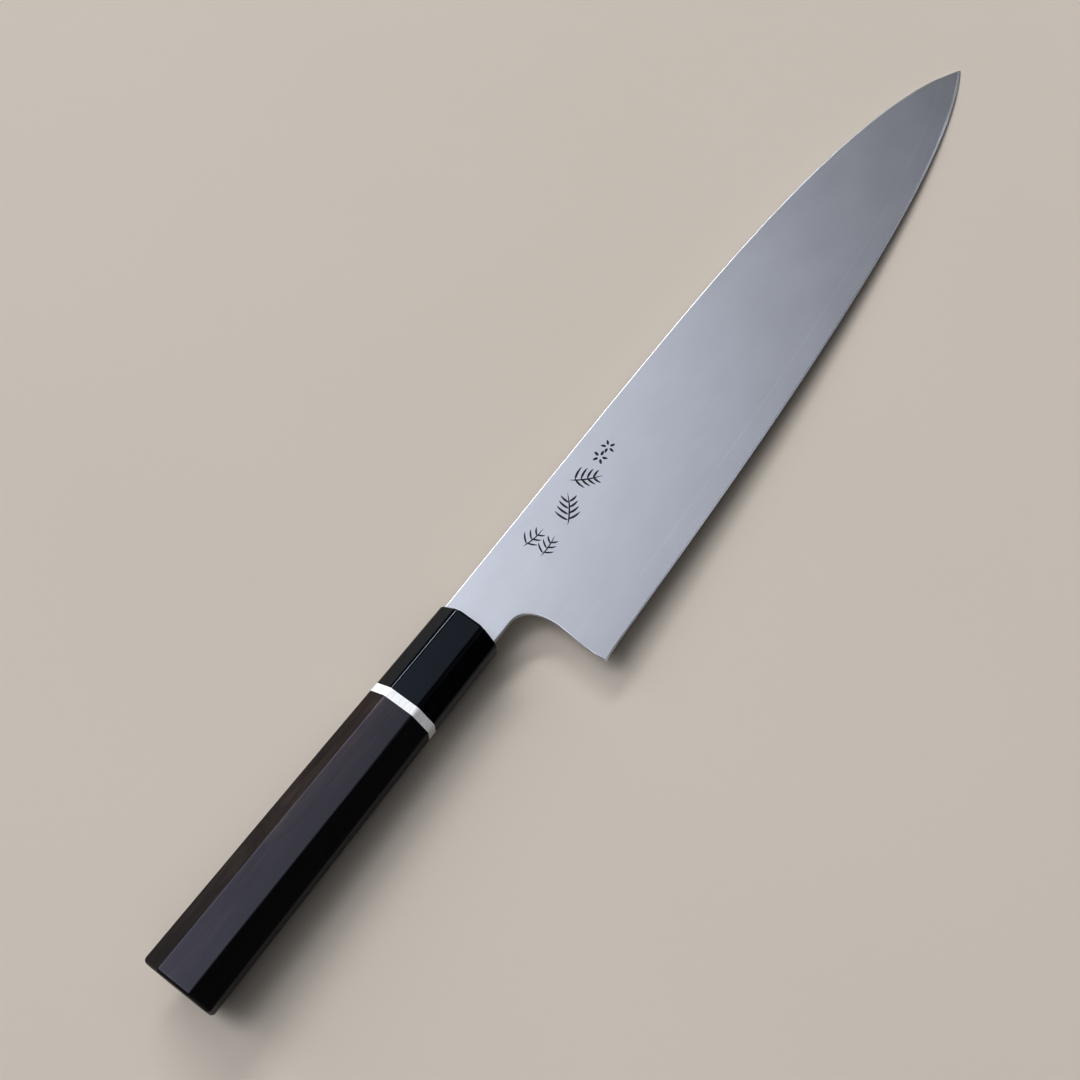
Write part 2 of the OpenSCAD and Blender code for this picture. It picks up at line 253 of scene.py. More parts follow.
class Paint:
    """A material with its Principled shader and short calls for the nodes that feed it."""

    def __init__(self, name, **values):
        self.material = bpy.data.materials.new(name)
        self.material.use_nodes = True
        self.tree = self.material.node_tree
        self.shader = self.tree.nodes["Principled BSDF"]
        for socket, value in values.items():
            self.shader.inputs[socket.replace("_", " ")].default_value = value
        self._mm = None

    def node(self, kind, **settings):
        return new_node(self.tree, kind, **settings)

    def feed(self, socket, source):
        """Puts a value or another node's output on a socket."""
        if isinstance(source, bpy.types.NodeSocket):
            self.tree.links.new(source, socket)
        else:
            socket.default_value = source

    def mm(self):
        """The knife's own coordinates in millimetres, from the row's object coordinates."""
        if self._mm is None:
            back = KNIFE.inverted()
            spot = self.node("TexCoord").outputs["Object"]
            mapping = self.node("Mapping")
            mapping.inputs["Location"].default_value = back.to_translation()
            mapping.inputs["Rotation"].default_value = back.to_euler()
            mapping.inputs["Scale"].default_value = (1 / MM,) * 3
            self.feed(mapping.inputs["Vector"], spot)
            self._mm = mapping.outputs["Vector"]
        return self._mm

    def scaled(self, scale, shift):
        mapping = self.node("Mapping")
        mapping.inputs["Scale"].default_value = scale
        mapping.inputs["Location"].default_value = shift
        self.feed(mapping.inputs["Vector"], self.mm())
        return mapping.outputs["Vector"]

    def noise(self, scale, detail, rough, shift=(0, 0, 0), distortion=0.0):
        """Noise whose grain is 1 / scale millimetres long on each axis."""
        made = self.node("TexNoise")
        made.inputs["Scale"].default_value = 1
        made.inputs["Detail"].default_value = detail
        made.inputs["Roughness"].default_value = rough
        made.inputs["Distortion"].default_value = distortion
        self.feed(made.inputs["Vector"], self.scaled(scale, shift))
        return made.outputs["Fac"]

    def ramp(self, source, *stops):
        made = self.node("ValToRGB")
        elements = made.color_ramp.elements
        while len(elements) < len(stops):
            elements.new(0.5)
        for element, (place, colour) in zip(elements, stops):
            element.position = place
            element.color = (*colour, 1)
        self.feed(made.inputs["Fac"], source)
        return made.outputs["Color"]

    def span(self, source, low, high, from_low=0.0, from_high=1.0):
        """Source's range from_low to from_high, spread over low to high."""
        made = self.node("MapRange")
        made.inputs["From Min"].default_value = from_low
        made.inputs["From Max"].default_value = from_high
        made.inputs["To Min"].default_value = low
        made.inputs["To Max"].default_value = high
        self.feed(made.inputs["Value"], source)
        return made.outputs["Result"]

    def math(self, operation, a, b):
        made = self.node("Math", operation=operation)
        self.feed(made.inputs[0], a)
        self.feed(made.inputs[1], b)
        return made.outputs[0]

    def plus(self, a, b, weight):
        """a + b * weight."""
        return self.math("ADD", a, self.math("MULTIPLY", b, weight))

    def blend(self, factor, a, b, mode="MIX"):
        made = self.node("Mix", data_type="RGBA", blend_type=mode)
        self.feed(made.inputs[MIX_FACTOR], factor)
        self.feed(made.inputs[MIX_A], a)
        self.feed(made.inputs[MIX_B], b)
        return made.outputs[MIX_COLOUR]

    def colour(self, source):
        self.feed(self.shader.inputs["Base Color"], source)

    def roughness(self, source):
        self.feed(self.shader.inputs["Roughness"], source)

    def polish_upper_flat(self, side_gloss):
        """Full gloss on the flat that faces up, and side_gloss on every other facet."""
        facing = self.node("SeparateXYZ")
        self.feed(facing.inputs[0], self.node("TexCoord").outputs["Normal"])
        gloss = self.span(facing.outputs["Z"], side_gloss, FULL_GLOSS, SIDE_FACET, UPPER_FLAT)
        self.feed(self.shader.inputs["Specular IOR Level"], gloss)

    def bump(self, height, depth_mm, strength):
        made = self.node("Bump")
        made.inputs["Strength"].default_value = strength
        made.inputs["Distance"].default_value = depth_mm * MM
        self.feed(made.inputs["Height"], height)
        self.feed(self.shader.inputs["Normal"], made.outputs["Normal"])


# ---------------------------------------------------------------- materials

BLADE_TONE, LINE_TONE = (0.651, 0.658, 0.682), (0.685, 0.692, 0.712)


def satin_steel(name, tone, rough, haze):
    """Ground steel: fine lengthwise hairlines, soft cloudy variation and a trace of grit."""
    paint = Paint(name, Metallic=1.0)
    clouds = paint.noise((0.05, 0.09, 0.09), 4, 0.6)
    hairs = paint.noise((0.03, 7.0, 7.0), 3, 0.7)
    grit = paint.noise((2.2, 5.0, 5.0), 2, 0.6, (7, 3, 1))
    light = paint.span(clouds, 1 - haze, 1 + haze, *MOST)
    light = paint.math("MULTIPLY", light, paint.span(hairs, 0.975, 1.025, *MOST))
    base = paint.node("VectorMath", operation="SCALE")
    base.inputs[0].default_value = tone
    paint.feed(base.inputs["Scale"], light)
    paint.colour(base.outputs[0])
    wander = paint.math("ADD", paint.span(clouds, -0.008, 0.008, *MOST), rough)
    paint.roughness(paint.math("ADD", wander, paint.span(grit, -0.025, 0.025, *MOST)))
    paint.bump(paint.plus(hairs, grit, 0.5), 0.0015, 0.35)
    return paint.material


def polished_bevel():
    """The honed cutting bevel, brighter and smoother than the face above it."""
    paint = Paint("polished_bevel", Metallic=1.0)
    hone = paint.noise((0.6, 5.0, 5.0), 3, 0.7)
    paint.colour(paint.ramp(hone, (0.3, (0.70, 0.705, 0.72)), (0.7, (0.80, 0.805, 0.82))))
    paint.roughness(paint.span(hone, 0.16, 0.26, *MOST))
    paint.bump(hone, 0.0012, 0.25)
    return paint.material


def engraved_steel():
    """The dark, bitten floor of an engraved stroke."""
    paint = Paint("engraved_steel", Metallic=0.4)
    bite = paint.noise((3.0, 3.0, 3.0), 3, 0.6)
    paint.colour(paint.ramp(bite, (0.3, (0.012, 0.013, 0.016)), (0.75, (0.045, 0.048, 0.056))))
    paint.roughness(paint.span(bite, 0.55, 0.8))
    paint.bump(bite, 0.01, 0.6)
    return paint.material


def heartwood_and_reflection(paint, figure):
    """Ebony's colour before its grain: nearly black, with a painted reflection of the table as brown figure
    on the spine side, strongest toward the ring.
    """
    dark = paint.ramp(
        figure,
        (0.36, (0.0012, 0.0011, 0.0016)),
        (0.52, (0.0022, 0.0018, 0.0021)),
        (0.68, (0.0068, 0.0054, 0.0054)),
    )
    brown = paint.ramp(
        figure,
        (0.34, (0.0080, 0.0050, 0.0040)),
        (0.50, (0.0270, 0.0160, 0.0122)),
        (0.66, (0.0520, 0.0350, 0.0280)),
    )
    # painted reflection: the figure turns brown toward the spine side, where that facet reflects the table,
    # and the brown fades toward the butt
    place = paint.node("SeparateXYZ")
    paint.feed(place.inputs[0], paint.mm())
    reflection_side = paint.span(place.outputs["Y"], 0.0, 1.0, -4.0, 4.0)
    near_ring = paint.span(place.outputs["X"], 0.25, 1.0, -125.0, -45.0)
    return paint.blend(paint.math("MULTIPLY", reflection_side, near_ring), dark, brown)


def ebony():
    """Near-black wood with a cloudy figure, long fibres and short open pores."""
    paint = Paint("ebony", IOR=1.62, Specular_Tint=(0.86, 0.84, 1.0, 1.0))
    figure = paint.noise((0.03, 0.17, 0.17), 4, 0.62, (3, 0, 0), 0.8)
    fibre = paint.noise((0.035, 1.7, 1.7), 4, 0.65)
    pores = paint.noise((0.28, 3.4, 3.4), 2, 0.5, (11, 5, 2))
    grain = paint.ramp(fibre, (0.3, (0.5, 0.47, 0.45)), (0.7, (1.4, 1.36, 1.34)))
    tone = paint.blend(1.0, heartwood_and_reflection(paint, figure), grain, "MULTIPLY")
    open_pore = paint.ramp(pores, (0.66, (1, 1, 1)), (0.72, (0.3, 0.3, 0.3)))
    paint.colour(paint.blend(0.7, tone, paint.blend(1.0, tone, open_pore, "MULTIPLY")))
    paint.polish_upper_flat(0.2)
    satin = paint.span(fibre, 0.38, 0.44, *MOST)
    paint.roughness(paint.math("ADD", satin, paint.span(figure, 0.05, -0.06, 0.35, 0.65)))
    lowered = paint.ramp(pores, (0.64, (1, 1, 1)), (0.72, (0, 0, 0)))
    paint.bump(paint.plus(lowered, fibre, 0.6), 0.012, 0.5)
    return paint.material


def horn():
    """Polished black buffalo horn, with faint brown depth and buffing marks."""
    paint = Paint("horn", IOR=1.45, Specular_Tint=(0.72, 0.83, 1.0, 1.0))
    depth = paint.noise((0.05, 0.22, 0.22), 4, 0.6, (5, 1, 9), 0.4)
    buff = paint.noise((0.5, 2.5, 2.5), 3, 0.6)
    black = paint.ramp(
        depth,
        (0.35, (0.0022, 0.0027, 0.0040)),
        (0.60, (0.0036, 0.0038, 0.0046)),
        (0.80, (0.0110, 0.0090, 0.0080)),
    )
    paint.colour(black)
    paint.polish_upper_flat(0.36)
    paint.roughness(paint.span(buff, 0.09, 0.14, *MOST))
    paint.bump(paint.plus(buff, depth, 2.0), 0.003, 0.25)
    return paint.material


def white_spacer():
    """White spacer with the fine crossed marks of its sanding."""
    paint = Paint("white_spacer", IOR=1.49)
    cloud = paint.noise((0.35, 0.35, 0.35), 3, 0.5)
    marks = paint.noise((0.9, 6.5, 6.5), 2, 0.7)
    cross = paint.noise((7.0, 0.7, 0.7), 2, 0.7, (2, 8, 4))
    bands = paint.noise((0.12, 1.3, 1.3), 2, 0.5, (4, 6, 1))
    crossed = paint.plus(paint.math("MULTIPLY", marks, 0.6), cross, 0.4)
    weave = paint.plus(paint.math("MULTIPLY", crossed, 0.55), bands, 0.45)
    white = paint.ramp(
        weave,
        (0.38, (0.72, 0.72, 0.69)),
        (0.52, (0.88, 0.875, 0.855)),
        (0.62, (0.93, 0.925, 0.905)),
    )
    cream = paint.ramp(cloud, (0.3, (0.80, 0.79, 0.75)), (0.7, (0.93, 0.925, 0.90)))
    paint.colour(paint.blend(0.2, white, cream))
    paint.roughness(paint.span(weave, 0.42, 0.6, *MOST))
    paint.bump(weave, 0.02, 0.5)
    return paint.material


def pale_wood():
    """The dowel inside the grip."""
    paint = Paint("pale_wood", IOR=1.5)
    rings = paint.noise((0.03, 0.7, 0.7), 4, 0.6)
    fibre = paint.noise((0.2, 5.0, 5.0), 2, 0.6)
    paint.colour(paint.ramp(rings, (0.3, (0.42, 0.27, 0.14)), (0.7, (0.66, 0.49, 0.30))))
    paint.roughness(paint.span(fibre, 0.6, 0.8))
    paint.bump(fibre, 0.03, 0.6)
    return paint.material


def amber_resin():
    """The bedding around the tang."""
    paint = Paint("amber_resin", IOR=1.5)
    swirl = paint.noise((0.4, 0.4, 0.4), 3, 0.5)
    paint.colour(paint.ramp(swirl, (0.3, (0.22, 0.12, 0.04)), (0.7, (0.42, 0.26, 0.09))))
    paint.roughness(paint.span(swirl, 0.25, 0.45))
    paint.bump(swirl, 0.05, 0.4)
    return paint.material


def dark_sealant():
    """The compound that closes the ferrule's mouth."""
    paint = Paint("dark_sealant", IOR=1.45)
    skin = paint.noise((1.2, 1.2, 1.2), 3, 0.5)
    paint.colour(paint.ramp(skin, (0.3, (0.012, 0.011, 0.011)), (0.7, (0.03, 0.027, 0.025))))
    paint.roughness(paint.span(skin, 0.4, 0.6))
    paint.bump(skin, 0.04, 0.5)
    return paint.material


def floor_paint():
    """A plain pale floor whose tint hardly wanders."""
    paint = Paint("floor", IOR=1.45)
    tint = paint.noise((0.004, 0.004, 0.004), 2, 0.5)
    paint.colour(paint.ramp(tint, (0.3, (0.564, 0.503, 0.422)), (0.7, (0.580, 0.519, 0.438))))
    paint.roughness(0.75)
    return paint.material


# ---------------------------------------------------------------- mesh helpers

SAME_SPOT, NO_LENGTH = 1e-7, 1e-8  # metres
BLADE_CREASE, CORE_CREASE, GRIP_CREASE = 35.0, 4.0, 30.0  # edges that turn by more degrees stay sharp


def add_mesh(name, points, faces, material, crease):
    """A mesh object from points in the knife's axes."""
    mesh = bpy.data.meshes.new(name)
    mesh.from_pydata([tuple(p) for p in to_row(points)], [], faces)
    mesh.materials.append(material)
    obj = add_object(name, mesh)
    work = bmesh.new()
    work.from_mesh(mesh)
    bmesh.ops.remove_doubles(work, verts=work.verts, dist=SAME_SPOT)
    bmesh.ops.dissolve_degenerate(work, edges=work.edges, dist=NO_LENGTH)
    bmesh.ops.recalc_face_normals(work, faces=work.faces)
    work.to_mesh(mesh)
    work.free()
    mesh.shade_smooth()
    mesh.set_sharp_from_angle(angle=math.radians(crease))
    return obj


def join_parts(parts):
    """Points and faces of several (points, faces) pairs as one pair."""
    points, faces, start = [], [], 0
    for part_points, part_faces in parts:
        points.append(np.asarray(part_points, float).reshape(-1, 3))
        faces += [tuple(start + i for i in face) for face in part_faces]
        start += len(points[-1])
    return np.concatenate(points), faces


def slab(top, bottom):
    """A closed solid between two grids of the same shape, (rows, columns, 3)."""
    rows, columns = top.shape[:2]
    index = np.arange(rows * columns).reshape(rows, columns)
    under = index + rows * columns
    faces = []
    for r in range(rows - 1):
        for c in range(columns - 1):
            a, b, d, e = index[r, c], index[r, c + 1], index[r + 1, c + 1], index[r + 1, c]
            faces.append((a, b, d, e))
            a, b, d, e = under[r, c], under[r, c + 1], under[r + 1, c + 1], under[r + 1, c]
            faces.append((e, d, b, a))
    rim = [(0, c) for c in range(columns)] + [(r, columns - 1) for r in range(1, rows)]
    rim += [(rows - 1, c) for c in range(columns - 2, -1, -1)] + [(r, 0) for r in range(rows - 2, 0, -1)]
    for (r0, c0), (r1, c1) in zip(rim, rim[1:] + rim[:1]):
        faces.append((index[r0, c0], under[r0, c0], under[r1, c1], index[r1, c1]))
    return np.concatenate([top.reshape(-1, 3), bottom.reshape(-1, 3)]), faces


def prism(outline, low, high):
    """An outline in x and y as a solid from height low to height high."""
    n = len(outline)
    points = [(x, y, low) for x, y in outline] + [(x, y, high) for x, y in outline]
    faces = [tuple(range(n - 1, -1, -1)), tuple(range(n, 2 * n))]
    faces += [(i, (i + 1) % n, (i + 1) % n + n, i + n) for i in range(n)]
    return points, faces


def loft(rings):
    """A closed solid through rings of points with the same count."""
    n = len(rings[0])
    faces = [tuple(range(n - 1, -1, -1))]
    for k in range(len(rings) - 1):
        for i in range(n):
            j = (i + 1) % n
            faces.append((k * n + i, k * n + j, (k + 1) * n + j, (k + 1) * n + i))
    faces.append(tuple(range((len(rings) - 1) * n, len(rings) * n)))
    return np.concatenate(rings), faces


# ---------------------------------------------------------------- blade outline


def bezier(corners, t):
    """Points of a cubic curve at each share t of its run."""
    corners = np.asarray(corners, float)
    t = np.atleast_1d(t)[:, None]
    s = 1 - t
    return s**3 * corners[0] + 3 * s * s * t * corners[1] + 3 * s * t * t * corners[2] + t**3 * corners[3]


EDGE_LEAD, EDGE_LIFT = (0.032, 0.802), (2.4, 2.0)
SPINE_LEAD, SPINE_LIFT = (0.309, 0.804), 1.4
NECK_REACH = 5.0
CHOIL_DEPTH, CHOIL_INSET, CHOIL_LEAN, CHOIL_PULL = 22.0, 0.4, 0.2, (8.5, 7.0)
HEEL_PULL = (-1.0, 5.3)

EDGE_RUN = TIP[0] - HEEL[0]
SPINE_RUN = TIP[0] - SPINE_BEND
CHOIL_CORNER = np.array([HEEL[0] + CHOIL_INSET, -CHOIL_DEPTH])
NECK_START = np.array([HEEL[0] / 2, -NECK_DROP])
EDGE_CURVE = [
    HEEL,
    HEEL + (EDGE_LEAD[0] * EDGE_RUN, EDGE_LIFT[0]),
    HEEL + (EDGE_LEAD[1] * EDGE_RUN, EDGE_LIFT[1]),
    TIP,
]
SPINE_CURVE = [
    (SPINE_BEND, SPINE_TOP),
    (SPINE_BEND + SPINE_LEAD[0] * SPINE_RUN, SPINE_TOP),
    (SPINE_BEND + SPINE_LEAD[1] * SPINE_RUN, SPINE_TOP + SPINE_LIFT),
    TIP,
]
NECK_CURVE = [
    NECK_START,
    NECK_START + (NECK_REACH, 0),
    CHOIL_CORNER + (-CHOIL_LEAN, CHOIL_PULL[0]),
    CHOIL_CORNER,
]
CHOIL_CURVE = [CHOIL_CORNER, CHOIL_CORNER + (-CHOIL_LEAN, -CHOIL_PULL[1]), HEEL + HEEL_PULL, HEEL]

FINE = np.linspace(0, 1, 1201)
COARSE = FINE[::6]
EDGE_LINE = bezier(EDGE_CURVE, FINE)
SPINE_LINE = np.concatenate([[(0, SPINE_START)], bezier(SPINE_CURVE, FINE)])
REAR_LINE = np.concatenate(
    [[(0, -NECK_DROP)], bezier(NECK_CURVE, COARSE), bezier(CHOIL_CURVE, COARSE[1:])]
)
BATCH = 4000


def edge_y(x):
    return np.interp(x, EDGE_LINE[:, 0], EDGE_LINE[:, 1])


def spine_y(x):
    return np.interp(x, SPINE_LINE[:, 0], SPINE_LINE[:, 1])


def lamination_y(x):
    """The cladding's lower end, CORE_SHOW away from the edge."""
    slope = np.gradient(EDGE_LINE[:, 1], EDGE_LINE[:, 0])
    lift = CORE_SHOW * np.sqrt(1 + slope**2)
    return np.interp(x, EDGE_LINE[:, 0], EDGE_LINE[:, 1] + lift)


def far_from(points, line):
    """Distance of each point in x and y from a polyline."""
    a, b = line[:-1], line[1:]
    run = b - a
    length = (run**2).sum(1)
    best = np.full(len(points), np.inf)
    for start in range(0, len(points), BATCH):
        p = points[start : start + BATCH, None, :]
        t = np.clip(((p - a) * run).sum(2) / length, 0, 1)
        gap = p - (a + run * t[..., None])
        best[start : start + BATCH] = np.sqrt((gap**2).sum(2).min(1))
    return best


# The cladding ends near the tip, where the lamination line meets the spine.
NEAR_TIP = np.linspace(200, TIP[0], 4000)
CLADDING_END = NEAR_TIP[np.argmax(lamination_y(NEAR_TIP) > spine_y(NEAR_TIP))]

# ---------------------------------------------------------------- blade thickness

SPINE_ROUND, CHOIL_ROUND, LEAST_ROUND = 0.35, 0.4, 0.002
CLAD_LIP = 0.006  # how far the cladding stands over the core at the lamination line
CLAD_SINK = 0.01  # how far its hidden face lies inside the core
THIN_HALF = 0.1  # the core is nowhere thinner than this above its bevel
CLAD_RIM, CORE_RIM = CORE_HALF + 0.02, 0.05  # half thicknesses left where an edge is rounded
LEVEL_BEHIND = HEEL[0] + 0.5  # the lamination line runs level behind here
BEVEL_POWER = 4  # how late the bevel widens toward the tip


def spine_half(x):
    return SPINE_T / 2 * (1 - DISTAL_TAPER * (np.clip(x, 0, None) / TIP[0]) ** TAPER_POWER)


def rounded(points, half, floor):
    """Half thickness after the spine and the choil are eased over, never under floor."""
    for line, radius in ((SPINE_LINE, SPINE_ROUND), (REAR_LINE, CHOIL_ROUND)):
        gap = far_from(points, line)
        r = np.clip(half - floor, LEAST_ROUND, radius)
        near = np.clip(1 - gap / r, 0, 1)
        half = half - r * (1 - np.sqrt(1 - near**2))
    return half


def wedge(points):
    """Half thickness of the ground wedge: CORE_HALF at the lamination line, more toward the spine."""
    x, y = points[:, 0], points[:, 1]
    low = lamination_y(np.maximum(x, LEVEL_BEHIND))
    height = np.maximum(spine_y(x) - low, 0)
    steepness = np.minimum((spine_half(x) - CORE_HALF) / np.maximum(height, 1.0), STEEPEST)
    return CORE_HALF + steepness * np.minimum(y - low, height)


def clad_half(points):
    return rounded(points, np.maximum(wedge(points), CORE_HALF) + CLAD_LIP, CLAD_RIM)


def bevel_width(x):
    return BEVEL_HEEL + (BEVEL_TIP - BEVEL_HEEL) * (x / TIP[0]) ** BEVEL_POWER


def core_half(points):
    """The core: the wedge carried on below the lamination line, down to the sharpened bevel."""
    up = far_from(points, EDGE_LINE)
    band = np.clip(wedge(points), THIN_HALF, CORE_HALF)
    on_bevel = EDGE_HALF + (band - EDGE_HALF) * np.minimum(up / bevel_width(points[:, 0]), 1)
    return rounded(points, on_bevel, CORE_RIM)


# ---------------------------------------------------------------- blade pieces

EASE_ROWS = np.array([0, 0.02, 0.06, 0.12, 0.2, 0.32, 0.48, 0.75])  # gaps of the rows at a rounded edge
CORNER_STEPS = np.array([0.1, 0.25, 0.5, 0.85, 1.3, 1.9, 2.6])  # columns that widen from the heel on
CORNER_RUN, REAR_STEP = 3.5, 0.6
FAN_LEAD, FAN_RUN = 11.0, 70.0  # how far spine points stand ahead of their columns, and until where
REAR_POWER, FRONT_POWER = 1.5, 2

CLAD_COLUMNS, CLAD_ROWS, CLAD_MITRE = 230, 34, 2.5
CLAD_START, CLAD_STOP = HEEL[0] + 0.1, CLADDING_END - 0.05

CORE_COLUMNS, CORE_ROWS, CORE_MITRE = 260, 14, 12.0
LAST_STEP = 0.25  # between the core's last two columns at the tip
BEVEL_SHARES = (0, 0.5, 0.97, 1.03)
BAND_SHARES = (0.06, 0.15, 0.3, 0.45, 0.6, 0.75)
BAND_ROOM = 0.8  # share of a short column that the band's rows may take
CHOIL_SHARE, CHOIL_FADE = 0.2, 6.0  # the band's rows crowd to this share along the choil

BEVEL_START = HEEL[0] + 0.6
LINE_START, LINE_WIDTH = 46.0, 0.42  # the fine bright line along the lamination


def rear_stations(end_y):
    """Even points down the neck and the choil to height end_y, with their inward normals."""
    line = REAR_LINE[REAR_LINE[:, 1] > end_y]
    last = (np.interp(-end_y, -REAR_LINE[:, 1], REAR_LINE[:, 0]), end_y)
    line = np.concatenate([line, [last]])
    length = np.concatenate([[0], np.cumsum(np.linalg.norm(np.diff(line, axis=0), axis=1))])
    even = np.linspace(0, length[-1], round(length[-1] / REAR_STEP))
    points = np.column_stack([np.interp(even, length, line[:, 0]), np.interp(even, length, line[:, 1])])
    run = np.gradient(points, axis=0)
    run /= np.linalg.norm(run, axis=1)[:, None]
    return points, np.column_stack([-run[:, 1], run[:, 0]])


def fan_stations(rear, inward, front_x, front_y, mitre):
    """All lower points from the neck to the tip, their inward directions and facing spine points.

    Directions near the corner lean into its mitre, so that the rows turn it without folding.
    """
    slope = np.gradient(front_y, front_x)
    up = np.column_stack([-slope, np.ones_like(slope)]) / np.sqrt(1 + slope**2)[:, None]
    front = np.column_stack([front_x, front_y])
    lean = (inward[-1] + up[0]) / (1 + inward[-1] @ up[0])
    directions = []
    for points, normal in ((rear, inward), (front, up)):
        near = np.exp(-np.linalg.norm(points - rear[-1], axis=1) / mitre)[:, None]
        directions.append(normal + (lean - normal) * near)
    rear_lead = FAN_LEAD * np.linspace(0, 1, len(rear)) ** REAR_POWER
    front_lead = FAN_LEAD * np.clip(1 - (front_x - rear[-1, 0]) / FAN_RUN, 0, 1) ** FRONT_POWER
    top_x = np.concatenate([rear[:, 0] + rear_lead, front_x + front_lead])
    top = np.column_stack([top_x, spine_y(top_x)])
    return np.concatenate([rear, front]), np.concatenate(directions), top


def front_columns(start, end, count):
    return np.concatenate([start + CORNER_STEPS, np.linspace(start + CORNER_RUN, end, count)])


def cladding_grid():
    """Points of one cladding in x and y: columns from the neck to the tip, rows up to the spine."""
    rear, inward = rear_stations(lamination_y(CLAD_START))
    xs = front_columns(rear[-1][0], CLAD_STOP, CLAD_COLUMNS)
    low, direction, top = fan_stations(rear, inward, xs, lamination_y(xs), CLAD_MITRE)
    room = np.linalg.norm(top - low, axis=1)
    ease = np.minimum(1, room / (3 * EASE_ROWS[-1]))[:, None]
    down = (low - top) / room[:, None]
    rows = [low + direction * (gap * ease) for gap in EASE_ROWS]
    top_rows = [top + down * (gap * ease) for gap in EASE_ROWS[::-1]]
    middle = np.linspace(0, 1, CLAD_ROWS)[1:-1]
    rows += [rows[-1] * (1 - t) + top_rows[0] * t for t in middle] + top_rows
    return np.stack(rows, axis=1)


def tang_outline():
    """The tang in x and y, its rear end cut to a blunt point."""
    w, e = TANG_W / 2, TANG_END_W / 2
    upper = [(TANG_LAP, w), (0, w), (-TANG_LEN + e, e), (-TANG_LEN, e / 2)]
    return [(TANG_LAP, -w)] + upper + [(x, -y) for x, y in upper[:0:-1]]


def cladding_piece(name, side, grid, half, material):
    """One cladding with its share of the tang; side is 1 for the upper face, -1 for the lower."""
    flat = grid.reshape(-1, 2)
    outer = np.column_stack([flat, side * half]).reshape(*grid.shape[:2], 3)
    sunk = np.full(len(flat), side * (CORE_HALF - CLAD_SINK))
    inner = np.column_stack([flat, sunk]).reshape(outer.shape)
    tang = prism(tang_outline(), *sorted((side * CORE_HALF, side * TANG_HALF)))
    points, faces = join_parts([slab(outer, inner), tang])
    return add_mesh(name, points, faces, material, BLADE_CREASE)


def core_grid():
    """Points of the core in x and y, with close rows at the bevel and at the lamination line."""
    rear, inward = rear_stations(HEEL[1])
    xs = np.append(front_columns(HEEL[0], TIP[0] - LAST_STEP, CORE_COLUMNS), TIP[0])
    low, direction, top = fan_stations(rear, inward, xs, edge_y(xs), CORE_MITRE)
    room = np.linalg.norm(top - low, axis=1)
    bevel = bevel_width(low[:, 0])
    gaps = [bevel * share for share in BEVEL_SHARES]
    gaps += [bevel + (CORE_SHOW - bevel) * share for share in BAND_SHARES]
    gaps += [np.full_like(bevel, gap) for gap in (CORE_SHOW - LINE_WIDTH, CORE_SHOW)]
    squeeze = np.minimum(1, BAND_ROOM * room / CORE_SHOW)
    from_heel = np.linalg.norm(rear - HEEL, axis=1)
    squeeze[: len(rear)] *= CHOIL_SHARE + (1 - CHOIL_SHARE) * np.exp(-from_heel / CHOIL_FADE)
    rows = [low + direction * (gap * squeeze)[:, None] for gap in gaps]
    rows += [rows[-1] * (1 - t) + top * t for t in np.linspace(0, 1, CORE_ROWS)[1:]]
    return np.stack(rows, axis=1)


def core_piece(material, bevel_material, line_material):
    """The core with its sharpened bevel and the fine bright line where the cladding starts."""
    grid = core_grid()
    flat = grid.reshape(-1, 2)
    half = core_half(flat)
    upper = np.column_stack([flat, half]).reshape(*grid.shape[:2], 3)
    tang = prism(tang_outline(), -CORE_HALF, CORE_HALF)
    points, faces = join_parts([slab(upper, upper * (1, 1, -1)), tang])
    core = add_mesh("blade_core", points, faces, material, CORE_CREASE)
    core.data.materials.append(bevel_material)
    core.data.materials.append(line_material)
    spots = to_knife([face.center for face in core.data.polygons])
    gaps = far_from(spots[:, :2], EDGE_LINE)
    for face, spot, gap in zip(core.data.polygons, spots, gaps):
        if spot[0] > BEVEL_START and gap < bevel_width(spot[0]):
            face.material_index = 1
        elif spot[0] > LINE_START and CORE_SHOW - LINE_WIDTH < gap < CORE_SHOW:
            face.material_index = 2
    return core


# ---------------------------------------------------------------- engraved sprigs

STROKE_STEPS = 9
BLUNT = 0.06  # share of the width that a stroke's ends keep
CUT_RISE, CUT_SINK = 0.008, 0.08
STEM_WIDTH, STEM_BEND, STEM_LEAN = 0.7, 24, 0.1
PETALS = 5

SPRIGS = [  # root, angle, length, pairs of leaves, width of a cut
    ((31.8, 3.4), -8, 9.4, 3, 0.55),
    ((32.4, -3.2), 6, 9.0, 3, 0.55),
    ((46.6, -3.8), 38, 12.0, 4, 0.7),
    ((60.2, 5.4), -42, 11.6, 4, 0.68),
]
BLOSSOMS = [  # centre, diameter, width of a cut, turn
    ((73.2, 2.3), 4.6, 0.85, 10),
    ((78.0, 2.3), 4.4, 0.8, 46),
]


def toward(angle):
    """The unit vector at an angle in radians."""
    return np.array([math.cos(angle), math.sin(angle)])


def stroke(start, angle, length, width, bend):
    """A pointed brush-like cut on the blade's upper face, bent by an angle along its length."""
    along = np.linspace(0, 1, STROKE_STEPS)
    heading = np.radians(angle + bend * (along - 0.5))
    step = length / (STROKE_STEPS - 1)
    run = np.column_stack([np.cos(heading), np.sin(heading)]) * step
    middle = np.array(start) + np.concatenate([[(0, 0)], np.cumsum(run[:-1], axis=0)])
    across = np.column_stack([-np.sin(heading), np.cos(heading)])
    wide = width / 2 * (BLUNT + np.sin(math.pi * along**0.8) ** 0.7)
    flat = np.stack([middle + across * (wide * side)[:, None] for side in (-1, 0, 1)], axis=1)
    height = clad_half(flat.reshape(-1, 2)).reshape(STROKE_STEPS, 3, 1)
    top = np.concatenate([flat, height + CUT_RISE], axis=2)
    return slab(top, np.concatenate([flat, height - CUT_SINK], axis=2))


